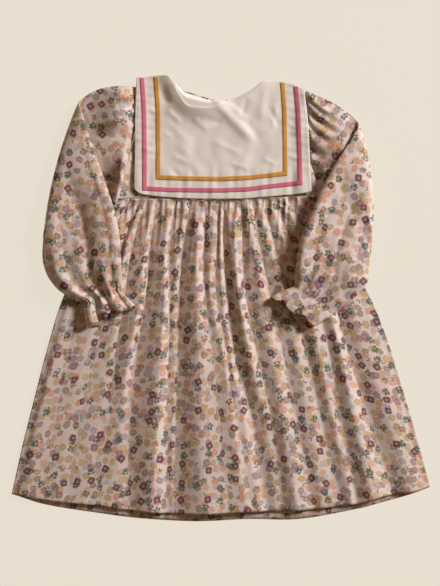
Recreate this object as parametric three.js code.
// A child's floral cotton dress, laid flat on its back: square bib collar with two ribbon
// trims, shallow yoke, gathered A-line skirt and long sleeves folded down at the sides.
// Millimetres. +X is the viewer's right, +Y points to the neck, +Z points up from the surface.

import * as THREE from 'three';
import { mergeVertices } from 'three/addons/utils/BufferGeometryUtils.js';

// Cloth and the clearance kept at every seam
const CLOTH = 1.2;
const SKIRT_CLOTH = 1.5;
const SEAM_GAP = 0.3;

// Levels of the flat layers, each one cloth and one seam gap above the last
const LAYER = CLOTH + SEAM_GAP;
const BACK_YOKE_LEVEL = LAYER;
const FRONT_YOKE_LEVEL = 2 * LAYER;
const COLLAR_LEVEL = 3 * LAYER;
const SKIRT_REST = CLOTH + SEAM_GAP + SKIRT_CLOTH;

// The skirt: half shapes from the waist seam (down = 0) to the hem (down = 1)
const SKIRT_SIDES = [
  { down: 0.00, left: -116, right: 106 },
  { down: 0.17, left: -152, right: 137 },
  { down: 0.33, left: -178, right: 167 },
  { down: 0.50, left: -195.5, right: 189 },
  { down: 0.67, left: -210, right: 206 },
  { down: 0.83, left: -223, right: 221 },
  { down: 1.00, left: -235, right: 235 },
];
const WAIST_LINE = [
  { across: -240, level: 111.5 },
  { across: -116, level: 111.5 },
  { across: 0, level: 110.5 },
  { across: 106, level: 114.5 },
  { across: 240, level: 115 },
];
const HEM_LINE = [
  { across: -235, back: -220.5, front: -220 },
  { across: -198, back: -232, front: -227 },
  { across: -132, back: -242.5, front: -234 },
  { across: -92, back: -247.5, front: -239.5 },
  { across: -28, back: -251, front: -242.5 },
  { across: 30, back: -248.5, front: -240 },
  { across: 87, back: -248.5, front: -238 },
  { across: 156, back: -236.5, front: -230.5 },
  { across: 180, back: -230, front: -223 },
  { across: 212, back: -221, front: -218 },
  { across: 235, back: -212.5, front: -212 },
];

// The skirt's gathers and long folds: where each crest lies at the waist, a little under half
// way down and at the hem, and how high and how wide to one side it is at those three levels
const FOLD_MIDDLE = 0.42;
const SKIRT_FOLDS = [
  { waist: -105, middle: -137, hem: -203, high: [2.0, 2.5, 5.0], half: [6, 16, 26] },
  { waist: -93, middle: -105, hem: -138, high: [2.6, 5.0, 2.5], half: [6, 13, 24] },
  { waist: -81, middle: -88, hem: -105, high: [2.8, 1.5, 0.0], half: [5, 9, 14] },
  { waist: -69, middle: -71, hem: -80, high: [2.8, 7.0, 9.0], half: [6, 14, 22] },
  { waist: -56, middle: -53, hem: -55, high: [3.0, 1.8, 0.0], half: [5, 9, 14] },
  { waist: -44, middle: -32, hem: -27, high: [3.0, 7.0, 9.0], half: [6, 14, 21] },
  { waist: -30, middle: -13, hem: -4, high: [2.8, 2.0, 0.0], half: [5, 9, 14] },
  { waist: -17, middle: 3, hem: 19, high: [3.0, 4.0, 4.5], half: [6, 12, 18] },
  { waist: -3, middle: 12, hem: 40, high: [2.6, 1.0, 0.0], half: [5, 8, 12] },
  { waist: 12, middle: 21, hem: 52, high: [3.0, 6.0, 1.0], half: [6, 11, 14] },
  { waist: 28, middle: 48, hem: 70, high: [3.0, 6.5, 9.0], half: [6, 13, 22] },
  { waist: 43, middle: 72, hem: 108, high: [3.0, 3.0, 1.5], half: [6, 11, 18] },
  { waist: 59, middle: 101, hem: 128, high: [2.8, 4.5, 3.0], half: [6, 12, 16] },
  { waist: 75, middle: 133, hem: 158, high: [2.8, 5.0, 9.5], half: [6, 13, 23] },
  { waist: 91, middle: 156, hem: 212, high: [2.2, 2.5, 5.5], half: [6, 12, 19] },
];
const SKIRT_COLUMNS = 82;
const SKIRT_ROWS = 16;
const SEAM_RISE = 0.5;
const SEAM_REACH = 0.07;
const SIDE_FADE = 16;

// The square collar: its upper edge runs over the left shoulder, round the front of the neck
// and over the right shoulder
const COLLAR_TOP = [
  { across: -94.5, level: 247 },
  { across: -75, level: 249.5 },
  { across: -56.5, level: 249.5 },
  { across: -51, level: 235 },
  { across: -45, level: 225 },
  { across: -38, level: 215.5 },
  { across: -19, level: 213 },
  { across: 0, level: 214.5 },
  { across: 12, level: 219 },
  { across: 21, level: 224.5 },
  { across: 32.5, level: 230.5 },
  { across: 39.5, level: 236.5 },
  { across: 46, level: 244 },
  { across: 70, level: 243 },
  { across: 84, level: 238.5 },
  { across: 93, level: 234 },
];
const COLLAR_BOTTOM = [
  { across: -97, level: 122 },
  { across: -91, level: 117 },
  { across: -52, level: 112.5 },
  { across: 0, level: 111.2 },
  { across: 33, level: 112.2 },
  { across: 89, level: 117 },
  { across: 101, level: 119.5 },
];
const COLLAR_SIDES = [
  { down: 0.0, left: -94.5, right: 93 },
  { down: 0.3, left: -96.3, right: 97.3 },
  { down: 0.7, left: -96.8, right: 99.7 },
  { down: 1.0, left: -97.4, right: 101.3 },
];
const COLLAR_ROWS = 12;
const COLLAR_COLUMN = 5;

// Ribbon trims, each a U of three straight runs with mitred corners, 4.7 mm wide
const RIBBON_WIDTH = 4.7;
const RIBBON_THICK = 0.7;
const RIBBON_GAP = 0.4;
const PINK_RUN = [
  [-88.5, 247], [-86, 209], [-85.5, 162], [-85.5, 123],
  [-57, 121.3], [-1, 120.8], [30, 122], [54, 125.2], [89, 129],
  [88, 170], [86.5, 209], [84, 237],
];
const MUSTARD_RUN = [
  [-73, 248], [-70.3, 209], [-70.3, 162], [-70.5, 135.3],
  [-36, 134], [-1, 133.5], [30, 134.8], [72.2, 139.5],
  [72, 170], [71.4, 209], [69, 241.5],
];
const RIBBON_STEP = 8;

// The neck: the back edge lies a little above the front one, so the inside of the back shows
const BACK_NECK = [
  [-56.5, 248.5], [-51, 239.5], [-43, 233.5], [-34, 230.5], [-23, 227], [-11, 223.5],
  [0, 222], [11, 223], [22, 226], [33, 232], [40, 237.5], [46, 243],
];
const FACING_DEPTH_LIMIT = 0.8;
const NECK_SLIVER = 2.2;

// The armholes, each a shallow bow between the shoulder and the underarm
const ARMHOLES = {
  left: { top: [-96, 237], bottom: [-112, 138], bow: 7 },
  right: { top: [95, 233], bottom: [105.5, 136], bow: -5 },
};

// The sleeves as flattened tubes. Each row is one section of the tube, from the armhole out to
// the fold at the side, over it, and down to the frill. over: edge on the shoulder side, under:
// edge on the underarm side, lift: height of both edges, front and back: how far the sleeve's
// front and back cloth stand off the line between them, turn: degrees folded over, bow: bend of
// the section in plan, ripple: height of the small folds
const LEFT_SLEEVE = [
  { over: [-96, 237], under: [-112, 138], lift: 2.85, front: 1.35, back: 1.35, turn: 0, bow: 7, ripple: 0 },
  { over: [-103, 238], under: [-120, 132], lift: 3.0, front: 3.2, back: 1.4, turn: 0, bow: 5, ripple: 1.1 },
  { over: [-114, 238], under: [-132, 125], lift: 3.0, front: 3.6, back: 1.4, turn: 0, bow: 3, ripple: 1.2 },
  { over: [-132, 236], under: [-154, 110], lift: 3.0, front: 3.2, back: 1.4, turn: 0, bow: 0, ripple: 0.8 },
  { over: [-147, 230], under: [-178, 96], lift: 3.0, front: 2.4, back: 1.5, turn: 0, bow: -3, ripple: 0.3 },
  { over: [-156, 223], under: [-192, 87], lift: 3.0, front: 1.5, back: 1.5, turn: 0, bow: -4, ripple: 0 },
  { over: [-159, 219], under: [-198, 84], lift: 6.4, front: 1.5, back: 1.7, turn: 90, bow: -4.5, ripple: 0 },
  { over: [-156, 210], under: [-197, 81], lift: 9.8, front: 1.4, back: 2.4, turn: 180, bow: -4, ripple: 0 },
  { over: [-149, 187], under: [-197.5, 78], lift: 9.6, front: 1.4, back: 5.0, turn: 180, bow: -2, ripple: 0.3 },
  { over: [-138, 155], under: [-198.5, 73], lift: 9.4, front: 1.4, back: 7.0, turn: 180, bow: -1, ripple: 0.5 },
  { over: [-127, 123], under: [-199, 67], lift: 8.4, front: 1.4, back: 9.0, turn: 180, bow: 0, ripple: 0.7 },
  { over: [-119, 98], under: [-199.5, 60], lift: 5.5, front: 1.4, back: 12, turn: 180, bow: 0, ripple: 0.9 },
  { over: [-114, 75], under: [-200, 50], lift: 3.0, front: 1.4, back: 14, turn: 180, bow: 0, ripple: 1.0 },
  { over: [-112, 54], under: [-199, 39], lift: 2.4, front: 1.4, back: 15, turn: 180, bow: 0, ripple: 1.0 },
  { over: [-111, 36], under: [-194.5, 25], lift: 2.4, front: 1.4, back: 14, turn: 180, bow: 0, ripple: 1.1 },
  { over: [-110.5, 24], under: [-183, 10], lift: 2.4, front: 1.4, back: 11, turn: 180, bow: 0, ripple: 1.2 },
  { over: [-110.5, 16], under: [-168, 0], lift: 2.4, front: 1.4, back: 7.5, turn: 180, bow: 0, ripple: 1.2 },
  { over: [-112, 10], under: [-155, -6], lift: 2.4, front: 1.4, back: 5, turn: 180, bow: 0, ripple: 1.0 },
  { over: [-108, 4], under: [-154, -12], lift: 2.4, front: 1.4, back: 6, turn: 180, bow: 0, ripple: 1.4 },
  { over: [-102, -2], under: [-152, -22.5], lift: 2.6, front: 1.5, back: 7, turn: 180, bow: -1, ripple: 2.0 },
  { over: [-95, -10], under: [-149.5, -35], lift: 2.8, front: 1.7, back: 7.5, turn: 180, bow: -2, ripple: 2.6 },
];
const RIGHT_SLEEVE = [
  { over: [95, 233], under: [105.5, 136], lift: 2.85, front: 1.35, back: 1.35, turn: 0, bow: 5, ripple: 0 },
  { over: [101, 231], under: [112, 130], lift: 3.0, front: 3.2, back: 1.4, turn: 0, bow: 3, ripple: 1.1 },
  { over: [109, 227], under: [121, 124], lift: 3.0, front: 3.6, back: 1.4, turn: 0, bow: 1, ripple: 1.2 },
  { over: [123, 220.5], under: [136, 112], lift: 3.0, front: 3.2, back: 1.4, turn: 0, bow: -1, ripple: 0.8 },
  { over: [137, 212], under: [153, 98], lift: 3.0, front: 2.4, back: 1.5, turn: 0, bow: -3, ripple: 0.3 },
  { over: [149, 202.5], under: [164, 89], lift: 3.0, front: 1.5, back: 1.5, turn: 0, bow: -4, ripple: 0 },
  { over: [154, 195], under: [169.5, 85], lift: 6.4, front: 1.5, back: 1.7, turn: 90, bow: -4.5, ripple: 0 },
  { over: [151, 187], under: [169, 82], lift: 9.8, front: 1.4, back: 2.4, turn: 180, bow: -4, ripple: 0 },
  { over: [138, 166], under: [169, 78], lift: 9.6, front: 1.4, back: 5.0, turn: 180, bow: -3, ripple: 0.3 },
  { over: [127, 149], under: [169, 74], lift: 9.4, front: 1.4, back: 7.0, turn: 180, bow: -1, ripple: 0.5 },
  { over: [114, 125], under: [169, 69], lift: 8.4, front: 1.4, back: 9.0, turn: 180, bow: 0, ripple: 0.7 },
  { over: [103.5, 101], under: [169, 62], lift: 5.5, front: 1.4, back: 12, turn: 180, bow: 0, ripple: 0.9 },
  { over: [93.5, 77.5], under: [168, 53], lift: 3.0, front: 1.4, back: 14, turn: 180, bow: 0, ripple: 1.0 },
  { over: [87, 58.5], under: [166.5, 42], lift: 2.4, front: 1.4, back: 15, turn: 180, bow: 0, ripple: 1.0 },
  { over: [84.5, 40.5], under: [165, 29], lift: 2.4, front: 1.4, back: 14, turn: 180, bow: 0, ripple: 1.1 },
  { over: [83, 28], under: [163, 15], lift: 2.4, front: 1.4, back: 11, turn: 180, bow: 0, ripple: 1.2 },
  { over: [82.5, 20], under: [147.5, -1], lift: 2.4, front: 1.4, back: 7.5, turn: 180, bow: 0, ripple: 1.2 },
  { over: [82, 14], under: [127, -16], lift: 2.4, front: 1.4, back: 5, turn: 180, bow: 0, ripple: 1.0 },
  { over: [76.5, 11], under: [123, -20.5], lift: 2.4, front: 1.4, back: 6, turn: 180, bow: 0, ripple: 1.4 },
  { over: [66.5, 7], under: [113.5, -26], lift: 2.6, front: 1.5, back: 7, turn: 180, bow: 1, ripple: 2.0 },
  { over: [56.5, 1], under: [104.5, -31.5], lift: 2.8, front: 1.7, back: 7.5, turn: 180, bow: 2, ripple: 2.6 },
];
const SLEEVE_POINTS = 36;
const SLEEVE_RIPPLES = 4.5;
const SLEEVE_ROUNDNESS = 0.7;
const SLEEVE_CLEARANCE = 0.6;
const SUPPORT_SPAN = 6;
const FINE_ROWS_FROM = 13;
const FRILL_ROWS = 7;
const SKIRT_MARGIN = 9;
const SKIRT_MARGIN_FADE = 13;

// Colours seen on the real cloth
const PRINT_GROUND = 0xd9c3bb;
const COLLAR_CREAM = 0xe6dccd;
const PINK = 0xc0608a;
const MUSTARD = 0xc98a35;

// A smooth step from 0 to 1
function ease(value) {
  const t = THREE.MathUtils.clamp(value, 0, 1);
  return t * t * (3 - 2 * t);
}

// Reads one column of a table between its rows, on a smooth curve or on straight lines
function readTable(table, keyName, columnName, at, smooth) {
  const last = table.length - 1;
  let row = 0;
  while (row < last - 1 && at > table[row + 1][keyName]) {
    row += 1;
  }
  const here = table[row];
  const next = table[row + 1];
  const span = next[keyName] - here[keyName];
  const t = THREE.MathUtils.clamp((at - here[keyName]) / span, 0, 1);
  if (!smooth) {
    return THREE.MathUtils.lerp(here[columnName], next[columnName], t);
  }
  const before = table[Math.max(row - 1, 0)];
  const after = table[Math.min(row + 2, last)];
  const slopeHere = (next[columnName] - before[columnName]) / (next[keyName] - before[keyName]);
  const slopeNext = (after[columnName] - here[columnName]) / (after[keyName] - here[keyName]);
  const stay = (1 + 2 * t) * (1 - t) * (1 - t);
  const leave = t * (1 - t) * (1 - t) * span;
  const come = t * t * (3 - 2 * t);
  const arrive = t * t * (t - 1) * span;
  return stay * here[columnName] + leave * slopeHere + come * next[columnName] + arrive * slopeNext;
}

// The curve through a fold's three values, at the waist, the middle and the hem
function throughThree(values, down) {
  const middle = FOLD_MIDDLE;
  const atWaist = ((down - middle) * (down - 1)) / middle;
  const atMiddle = (down * (down - 1)) / (middle * (middle - 1));
  const atHem = (down * (down - middle)) / (1 - middle);
  return values[0] * atWaist + values[1] * atMiddle + values[2] * atHem;
}

// Makes a geometry from corner points and triangles
function solidFrom(points, triangles) {
  const geometry = new THREE.BufferGeometry();
  geometry.setAttribute('position', new THREE.Float32BufferAttribute(points.flat(), 3));
  geometry.setIndex(triangles.flat());
  geometry.computeVertexNormals();
  return geometry;
}

// A wall of cloth: upper points in rows and columns, and lower points straight under them
function clothWall(upperRows, thickness) {
  const rows = upperRows.length;
  const columns = upperRows[0].length;
  const points = [];
  for (const drop of [0, thickness]) {
    for (const row of upperRows) {
      for (const [x, y, z] of row) {
        points.push([x, y, z - drop]);
      }
    }
  }
  const upper = (r, c) => r * columns + c;
  const lower = (r, c) => rows * columns + upper(r, c);
  const triangles = [];
  for (let r = 0; r < rows - 1; r += 1) {
    for (let c = 0; c < columns - 1; c += 1) {
      triangles.push([upper(r, c), upper(r + 1, c), upper(r + 1, c + 1)]);
      triangles.push([upper(r, c), upper(r + 1, c + 1), upper(r, c + 1)]);
      triangles.push([lower(r, c), lower(r + 1, c + 1), lower(r + 1, c)]);
      triangles.push([lower(r, c), lower(r, c + 1), lower(r + 1, c + 1)]);
    }
  }
  closeEdge(triangles, rows, columns, upper, lower);
  return solidFrom(points, triangles);
}

// Joins the upper and lower points of a wall all round its edge
function closeEdge(triangles, rows, columns, upper, lower) {
  const round = [];
  for (let c = 0; c < columns - 1; c += 1) {
    round.push([0, c]);
  }
  for (let r = 0; r < rows - 1; r += 1) {
    round.push([r, columns - 1]);
  }
  for (let c = columns - 1; c > 0; c -= 1) {
    round.push([rows - 1, c]);
  }
  for (let r = rows - 1; r > 0; r -= 1) {
    round.push([r, 0]);
  }
  round.forEach((place, i) => {
    const following = round[(i + 1) % round.length];
    triangles.push([upper(...place), upper(...following), lower(...following)]);
    triangles.push([upper(...place), lower(...following), lower(...place)]);
  });
}

// A flat piece of cloth: an outline in plan, lying at one level
function flatPiece(outline, level) {
  const shape = new THREE.Shape(outline.map(([x, y]) => new THREE.Vector2(x, y)));
  const geometry = new THREE.ExtrudeGeometry(shape, { depth: CLOTH, bevelEnabled: false });
  geometry.translate(0, 0, level);
  geometry.deleteAttribute('normal');
  geometry.deleteAttribute('uv');
  return mergeVertices(geometry, 1e-4);
}

// A closed skin through a row of rings, with a fan over each end
function skinRings(rings) {
  const count = rings[0].length;
  const points = rings.flat();
  const triangles = [];
  for (let r = 0; r < rings.length - 1; r += 1) {
    for (let i = 0; i < count; i += 1) {
      const a = r * count + i;
      const b = r * count + ((i + 1) % count);
      triangles.push([a, b, b + count]);
      triangles.push([a, b + count, a + count]);
    }
  }
  for (const [ring, start] of [[rings[0], 0], [rings.at(-1), (rings.length - 1) * count]]) {
    const middle = [0, 1, 2].map((axis) => ring.reduce((sum, p) => sum + p[axis], 0) / count);
    points.push(middle);
    for (let i = 0; i < count; i += 1) {
      const a = start + i;
      const b = start + ((i + 1) % count);
      triangles.push(start === 0 ? [points.length - 1, b, a] : [points.length - 1, a, b]);
    }
  }
  return solidFrom(points, triangles);
}

// Turns a skin inside out where its volume comes out negative
function faceOutward(geometry) {
  const place = geometry.getAttribute('position');
  const index = geometry.getIndex();
  const corner = [new THREE.Vector3(), new THREE.Vector3(), new THREE.Vector3()];
  let volume = 0;
  for (let i = 0; i < index.count; i += 3) {
    corner.forEach((point, j) => point.fromBufferAttribute(place, index.getX(i + j)));
    volume += corner[0].dot(corner[1].clone().cross(corner[2]));
  }
  if (volume < 0) {
    for (let i = 0; i < index.count; i += 3) {
      const kept = index.getX(i + 1);
      index.setX(i + 1, index.getX(i + 2));
      index.setX(i + 2, kept);
    }
  }
  return geometry;
}

// The skirt in plan
const waistAt = (x) => readTable(WAIST_LINE, 'across', 'level', x, false);
const backHemAt = (x) => readTable(HEM_LINE, 'across', 'back', x, true);
const frontHemAt = (x) => readTable(HEM_LINE, 'across', 'front', x, true);
const skirtLeft = (down) => readTable(SKIRT_SIDES, 'down', 'left', down, true);
const skirtRight = (down) => readTable(SKIRT_SIDES, 'down', 'right', down, true);

// A fold's height beside its crest: steeper on its left, shadowed face than on its right
function foldShape(aside, half) {
  const reach = aside < 0 ? 0.8 * half : 1.15 * half;
  const t = Math.abs(aside) / reach;
  return t >= 1 ? 0 : 0.5 + 0.5 * Math.cos(Math.PI * t);
}

// Height of the front skirt's outer face
function skirtHeight(x, down) {
  let height = 0;
  for (const fold of SKIRT_FOLDS) {
    const crest = throughThree([fold.waist, fold.middle, fold.hem], down);
    const high = Math.max(throughThree(fold.high, down), 0);
    const half = throughThree(fold.half, down);
    height += high * foldShape(x - crest, half);
  }
  const inside = Math.min(x - skirtLeft(down), skirtRight(down) - x);
  const seam = THREE.MathUtils.lerp(SEAM_RISE, 1, ease(down / SEAM_REACH));
  return SKIRT_REST + height * seam * ease(inside / SIDE_FADE);
}

function frontSkirt() {
  const rows = [];
  for (let r = 0; r <= SKIRT_ROWS; r += 1) {
    const down = Math.pow(r / SKIRT_ROWS, 1.15);
    const left = skirtLeft(down);
    const right = skirtRight(down);
    const row = [];
    for (let c = 0; c <= SKIRT_COLUMNS; c += 1) {
      const x = THREE.MathUtils.lerp(left, right, c / SKIRT_COLUMNS);
      const y = THREE.MathUtils.lerp(waistAt(x), frontHemAt(x), down);
      row.push([x, y, skirtHeight(x, down)]);
    }
    rows.push(row);
  }
  return clothWall(rows, SKIRT_CLOTH);
}

function backSkirt() {
  const steps = 12;
  const outline = [];
  for (let i = 0; i <= steps; i += 1) {
    const x = skirtLeft(i / steps);
    outline.push([x, THREE.MathUtils.lerp(waistAt(x), backHemAt(x), i / steps)]);
  }
  const hemSteps = 40;
  for (let i = 1; i < hemSteps; i += 1) {
    const x = THREE.MathUtils.lerp(skirtLeft(1), skirtRight(1), i / hemSteps);
    outline.push([x, backHemAt(x)]);
  }
  for (let i = steps; i >= 0; i -= 1) {
    const x = skirtRight(i / steps);
    outline.push([x, THREE.MathUtils.lerp(waistAt(x), backHemAt(x), i / steps)]);
  }
  return flatPiece(outline, 0);
}

// Points along an armhole from the shoulder to the underarm, moved sideways by aside
function armholePoints(armhole, aside) {
  const steps = 8;
  const points = [];
  for (let i = 0; i <= steps; i += 1) {
    const t = i / steps;
    const bow = armhole.bow * 4 * t * (1 - t);
    const x = THREE.MathUtils.lerp(armhole.top[0], armhole.bottom[0], t) + bow + aside;
    points.push([x, THREE.MathUtils.lerp(armhole.top[1], armhole.bottom[1], t)]);
  }
  return points;
}

// The outline of a yoke, with its own neck edge from the left shoulder to the right one
function yokeOutline(neck) {
  const inset = 2 * SEAM_GAP;
  const left = armholePoints(ARMHOLES.left, inset);
  const right = armholePoints(ARMHOLES.right, -inset);
  const waist = WAIST_LINE.filter((row) => Math.abs(row.across) < SKIRT_SIDES[0].right);
  const leftWaist = [SKIRT_SIDES[0].left, waistAt(SKIRT_SIDES[0].left) + SEAM_GAP];
  const rightWaist = [SKIRT_SIDES[0].right, waistAt(SKIRT_SIDES[0].right) + SEAM_GAP];
  const along = waist.map((row) => [row.across, row.level + SEAM_GAP]);
  return [leftWaist, ...along, rightWaist, ...right.reverse(), ...neck.slice().reverse(), ...left];
}

const frontNeck = COLLAR_TOP.filter((row) => row.across > -57 && row.across < 47)
  .map((row) => [row.across, row.level - SEAM_GAP]);

// The collar's outer face: a rolled band round the neck, a slanting crease and soft puckers
function collarHeight(x, y) {
  const edge = y - readTable(COLLAR_TOP, 'across', 'level', x, false);
  const neckward = ease(1 - Math.abs(x + 5) / 50);
  const roll = 2.2 * Math.exp(-((edge + 7) ** 2) / 60) * neckward;
  const along = (x - 3) * 0.61 - (y - 215) * 0.79;
  const beside = (x - 3) * 0.79 + (y - 215) * 0.61;
  const crease = 1.6 * ease(along / 12) * ease((58 - along) / 20) * Math.exp(-(beside ** 2) / 40);
  const puckers = 0.35 * Math.sin(x / 4.6 + y / 90) * ease((150 - y) / 30);
  const shoulder = -0.9 * ease((y - 232) / 16) * ease((Math.abs(x) - 44) / 8);
  return COLLAR_LEVEL + CLOTH + 1.0 + roll + crease + puckers + shoulder;
}

function collar() {
  const fractions = [];
  const first = COLLAR_TOP[0].across;
  const whole = COLLAR_TOP.at(-1).across - first;
  for (let i = 0; i < COLLAR_TOP.length - 1; i += 1) {
    const from = COLLAR_TOP[i].across;
    const span = COLLAR_TOP[i + 1].across - from;
    const pieces = Math.ceil(span / COLLAR_COLUMN);
    for (let j = 0; j < pieces; j += 1) {
      fractions.push((from + (span * j) / pieces - first) / whole);
    }
  }
  fractions.push(1);
  const rows = [];
  for (let r = 0; r <= COLLAR_ROWS; r += 1) {
    const down = r / COLLAR_ROWS;
    const left = readTable(COLLAR_SIDES, 'down', 'left', down, true);
    const right = readTable(COLLAR_SIDES, 'down', 'right', down, true);
    rows.push(fractions.map((fraction) => {
      const x = THREE.MathUtils.lerp(left, right, fraction);
      const top = readTable(COLLAR_TOP, 'across', 'level', first + whole * fraction, false);
      const bottom = readTable(COLLAR_BOTTOM, 'across', 'level', x, true);
      const y = THREE.MathUtils.lerp(top, bottom, down);
      return [x, y, collarHeight(x, y)];
    }));
  }
  return clothWall(rows, CLOTH);
}

// The half of the collar that lies under the back, a plain square flap
function backCollar() {
  const bottom = 128;
  const shoulders = [[-96, 246], ...BACK_NECK, [93, 233]];
  return flatPiece([[-97, bottom], [101, bottom], ...shoulders.reverse()], 0);
}

// A strip that covers the inside of the back neck
function neckFacing() {
  const upper = BACK_NECK.filter(([x]) => x > -52 && x < 12).map(([x, y]) => [x, y - NECK_SLIVER]);
  const lower = upper.map(([x, y]) => {
    const front = readTable(COLLAR_TOP, 'across', 'level', x, false);
    return [x, Math.min(front + FACING_DEPTH_LIMIT, y - 0.5)];
  });
  return flatPiece([...lower, ...upper.reverse()], FRONT_YOKE_LEVEL);
}

// A ribbon sewn on the collar along a run of points, following the collar's face
function ribbon(run) {
  const line = [];
  for (let i = 0; i < run.length - 1; i += 1) {
    const [x0, y0] = run[i];
    const [x1, y1] = run[i + 1];
    const pieces = Math.ceil(Math.hypot(x1 - x0, y1 - y0) / RIBBON_STEP);
    for (let j = 0; j < pieces; j += 1) {
      line.push([x0 + ((x1 - x0) * j) / pieces, y0 + ((y1 - y0) * j) / pieces]);
    }
  }
  line.push(run.at(-1));
  const rows = line.map((point, i) => {
    const before = line[Math.max(i - 1, 0)];
    const after = line[Math.min(i + 1, line.length - 1)];
    const inward = new THREE.Vector2(point[0] - before[0], point[1] - before[1]);
    const onward = new THREE.Vector2(after[0] - point[0], after[1] - point[1]);
    if (i === 0) {
      inward.copy(onward);
    }
    if (i === line.length - 1) {
      onward.copy(inward);
    }
    inward.normalize();
    onward.normalize();
    const mean = inward.clone().add(onward).normalize();
    const reach = RIBBON_WIDTH / 2 / mean.dot(inward);
    return [1, 0, -1].map((side) => {
      const x = point[0] - mean.y * reach * side;
      const y = point[1] + mean.x * reach * side;
      return [x, y, collarHeight(x, y) + RIBBON_GAP + RIBBON_THICK];
    });
  });
  return clothWall(rows, RIBBON_THICK);
}

// Height of what lies under one place: the skirt with a margin round it, or the bare surface
function heightBelow(x, y) {
  const top = waistAt(x);
  const down = THREE.MathUtils.clamp((top - y) / (top - frontHemAt(x)), 0, 1);
  const outside = Math.max(skirtLeft(down) - x, x - skirtRight(down), y - top, 0);
  const onSkirt = 1 - ease((outside - SKIRT_MARGIN) / SKIRT_MARGIN_FADE);
  return (skirtHeight(x, down) + SLEEVE_CLEARANCE) * onSkirt;
}

// Height that a sleeve rests at: the highest place below it within a small span
function supportHeight(x, y) {
  const span = SUPPORT_SPAN;
  const places = [[0, 0], [span, 0], [-span, 0], [0, span], [0, -span]];
  return Math.max(...places.map(([dx, dy]) => heightBelow(x + dx, y + dy)));
}

// One ring of a sleeve from one row of its table, pulled in by inset on all sides
function sleeveRing(row, inset) {
  const across = new THREE.Vector2(row.over[0] - row.under[0], row.over[1] - row.under[1]);
  const half = across.length() / 2 - inset;
  across.normalize();
  const side = Math.sign(row.over[0]);
  const inward = new THREE.Vector2(across.y, -across.x).multiplyScalar(-side);
  if (inward.x * side > 0) {
    inward.negate();
  }
  const middle = [(row.over[0] + row.under[0]) / 2, (row.over[1] + row.under[1]) / 2];
  const turn = THREE.MathUtils.degToRad(row.turn);
  const ring = [];
  for (let i = 0; i < SLEEVE_POINTS; i += 1) {
    const angle = (2 * Math.PI * i) / SLEEVE_POINTS;
    const along = Math.cos(angle);
    const bulge = Math.pow(Math.abs(Math.sin(angle)), SLEEVE_ROUNDNESS);
    const isFront = Math.sin(angle) >= 0;
    const stand = (isFront ? row.front - inset : inset - row.back) * bulge;
    const isUpper = isFront === Math.cos(turn) > 0;
    const wave = Math.cos(SLEEVE_RIPPLES * Math.PI * along + 0.6);
    const ripple = isUpper ? row.ripple * wave * bulge : 0;
    const sideways = stand * Math.sin(turn) + row.bow * (1 - along * along);
    const x = middle[0] + across.x * half * along + inward.x * sideways;
    const y = middle[1] + across.y * half * along + inward.y * sideways;
    const z = row.lift + stand * Math.cos(turn) + ripple + supportHeight(x, y);
    ring.push([x, y, z]);
  }
  return ring;
}

// Adds rows half way between those at the fold and round the cuff
function betweenRows(table) {
  const rows = [];
  for (let i = 0; i < table.length - 1; i += 1) {
    rows.push(table[i]);
    const middle = {};
    for (const name of Object.keys(table[i])) {
      const here = table[i][name];
      const next = table[i + 1][name];
      middle[name] = Array.isArray(here)
        ? [(here[0] + next[0]) / 2, (here[1] + next[1]) / 2]
        : (here + next) / 2;
    }
    if (table[i].turn !== table[i + 1].turn || i >= FINE_ROWS_FROM) {
      rows.push(middle);
    }
  }
  rows.push(table.at(-1));
  return rows;
}

// A sleeve: its hidden layers share one rounded body, and its frill is an open wall
function sleeve(table) {
  const rows = betweenRows(table);
  const outer = rows.map((row) => sleeveRing(row, 0));
  const inner = rows.slice(-FRILL_ROWS).reverse().map((row) => sleeveRing(row, CLOTH));
  return faceOutward(skinRings([...outer, ...inner]));
}

// Names a piece, gives it its finish and adds it to the dress
function addPiece(dress, name, geometry, color, roughness) {
  const material = new THREE.MeshStandardMaterial({ color, roughness, metalness: 0 });
  const piece = new THREE.Mesh(geometry, material);
  piece.name = name;
  dress.add(piece);
}

const dress = new THREE.Group();
addPiece(dress, 'back_skirt', backSkirt(), PRINT_GROUND, 0.9);
addPiece(dress, 'front_skirt', frontSkirt(), PRINT_GROUND, 0.9);
addPiece(dress, 'back_yoke', flatPiece(yokeOutline(BACK_NECK), BACK_YOKE_LEVEL), PRINT_GROUND, 0.9);
addPiece(dress, 'front_yoke', flatPiece(yokeOutline(frontNeck), FRONT_YOKE_LEVEL), PRINT_GROUND, 0.9);
addPiece(dress, 'sleeve_left', sleeve(LEFT_SLEEVE), PRINT_GROUND, 0.9);
addPiece(dress, 'sleeve_right', sleeve(RIGHT_SLEEVE), PRINT_GROUND, 0.9);
addPiece(dress, 'collar_front', collar(), COLLAR_CREAM, 0.85);
addPiece(dress, 'collar_back', backCollar(), COLLAR_CREAM, 0.85);
addPiece(dress, 'neck_facing', neckFacing(), COLLAR_CREAM, 0.85);
addPiece(dress, 'trim_pink', faceOutward(ribbon(PINK_RUN)), PINK, 0.7);
addPiece(dress, 'trim_mustard', faceOutward(ribbon(MUSTARD_RUN)), MUSTARD, 0.7);

// The origin is under the middle of the dress, on the surface that it lies on
const box = new THREE.Box3().setFromObject(dress);
dress.position.set(-(box.min.x + box.max.x) / 2, -(box.min.y + box.max.y) / 2, -box.min.z);
dress.updateMatrixWorld(true);

export default dress;
